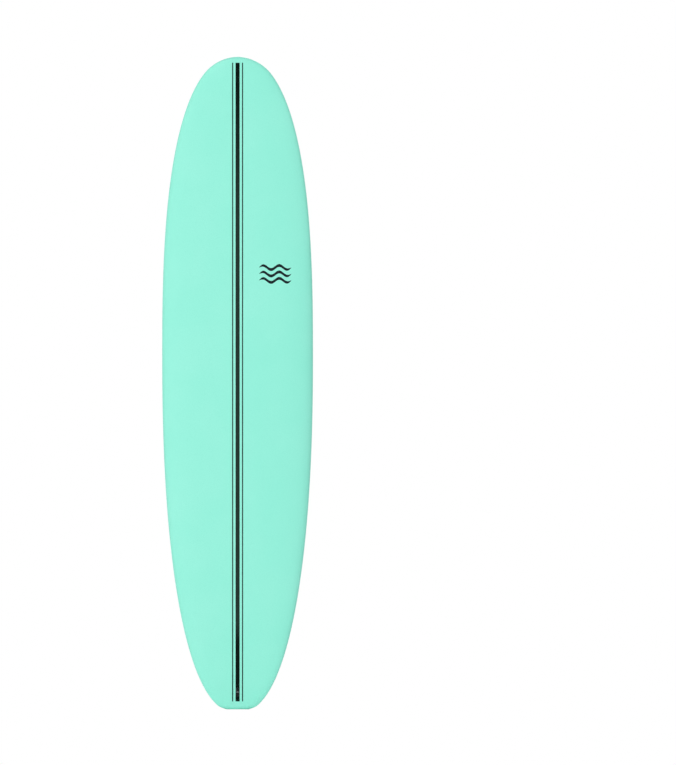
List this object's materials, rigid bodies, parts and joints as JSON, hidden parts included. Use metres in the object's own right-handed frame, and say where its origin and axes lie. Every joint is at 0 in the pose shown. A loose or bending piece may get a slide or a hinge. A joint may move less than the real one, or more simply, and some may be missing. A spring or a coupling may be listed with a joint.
{
  "type": "soft-top surfboard",
  "caption": "Longboard surfboard with a mint foam deck, dark centre stripe and pinlines, white slick bottom, empty fin boxes, slim leash plug and a scalloped finger grip.",
  "frame": {"origin": "middle of the flat tail end, on the line of the rail's widest points", "axes": "+Z from the tail to the nose, +X to the rider's right, -Y out of the deck and +Y out of the bottom"},
  "size_m": [0.634, 0.137, 2.743],
  "materials": {
    "mint_foam": "soft closed-cell foam sheet, satin with a fine pebble",
    "black_film": "satin film",
    "white_slick": "smooth hard plastic sheet",
    "white_foam": "matt foam",
    "core_foam": "expanded bead foam",
    "glass_laminate": "clear resin over glass cloth",
    "stringer_wood": "sanded plywood",
    "black_nylon": "moulded glass-filled nylon, fine texture",
    "steel": "stainless steel",
    "grip_rubber": "matt moulded rubber"
  },
  "bodies": {
    "board": {"bottom_foam": "white_foam", "bottom_laminate": "glass_laminate", "bottom_slick": "white_slick", "centre_stripe": "black_film", "core_left_inner": "core_foam", "core_left_outer": "core_foam", "core_right_inner": "core_foam", "core_right_outer": "core_foam", "deck_laminate": "glass_laminate", "deck_skin": "mint_foam", "fin_box_centre": "black_nylon", "fin_box_left": "black_nylon", "fin_box_right": "black_nylon", "finger_grip_cup": "grip_rubber", "leash_plug_bar": "steel", "leash_plug_cup": "black_nylon", "pinline_left": "black_film", "pinline_right": "black_film", "stringer_centre": "stringer_wood", "stringer_left": "stringer_wood", "stringer_right": "stringer_wood"},
    "grub_screw_centre_front_body": {"grub_screw_centre_front": "steel"},
    "grub_screw_centre_rear_body": {"grub_screw_centre_rear": "steel"},
    "grub_screw_left_front_body": {"grub_screw_left_front": "steel"},
    "grub_screw_left_rear_body": {"grub_screw_left_rear": "steel"},
    "grub_screw_right_front_body": {"grub_screw_right_front": "steel"},
    "grub_screw_right_rear_body": {"grub_screw_right_rear": "steel"}
  },
  "joints": [
    {"name": "clamp_centre_front", "type": "slide", "parent": "board", "child": "grub_screw_centre_front_body", "axis": [0.5, -0.8622, 0.081], "range_m": [-0.0015, 0.0025]},
    {"name": "clamp_centre_rear", "type": "slide", "parent": "board", "child": "grub_screw_centre_rear_body", "axis": [-0.5, -0.8622, 0.081], "range_m": [-0.0015, 0.0025]},
    {"name": "clamp_left_front", "type": "slide", "parent": "board", "child": "grub_screw_left_front_body", "axis": [0.5548, -0.8312, 0.0348], "range_m": [-0.0015, 0.0025]},
    {"name": "clamp_left_rear", "type": "slide", "parent": "board", "child": "grub_screw_left_rear_body", "axis": [-0.4415, -0.8922, 0.0954], "range_m": [-0.0015, 0.0025]},
    {"name": "clamp_right_front", "type": "slide", "parent": "board", "child": "grub_screw_right_front_body", "axis": [0.4415, -0.8922, 0.0954], "range_m": [-0.0015, 0.0025]},
    {"name": "clamp_right_rear", "type": "slide", "parent": "board", "child": "grub_screw_right_rear_body", "axis": [-0.5548, -0.8312, 0.0348], "range_m": [-0.0015, 0.0025]}
  ]
}
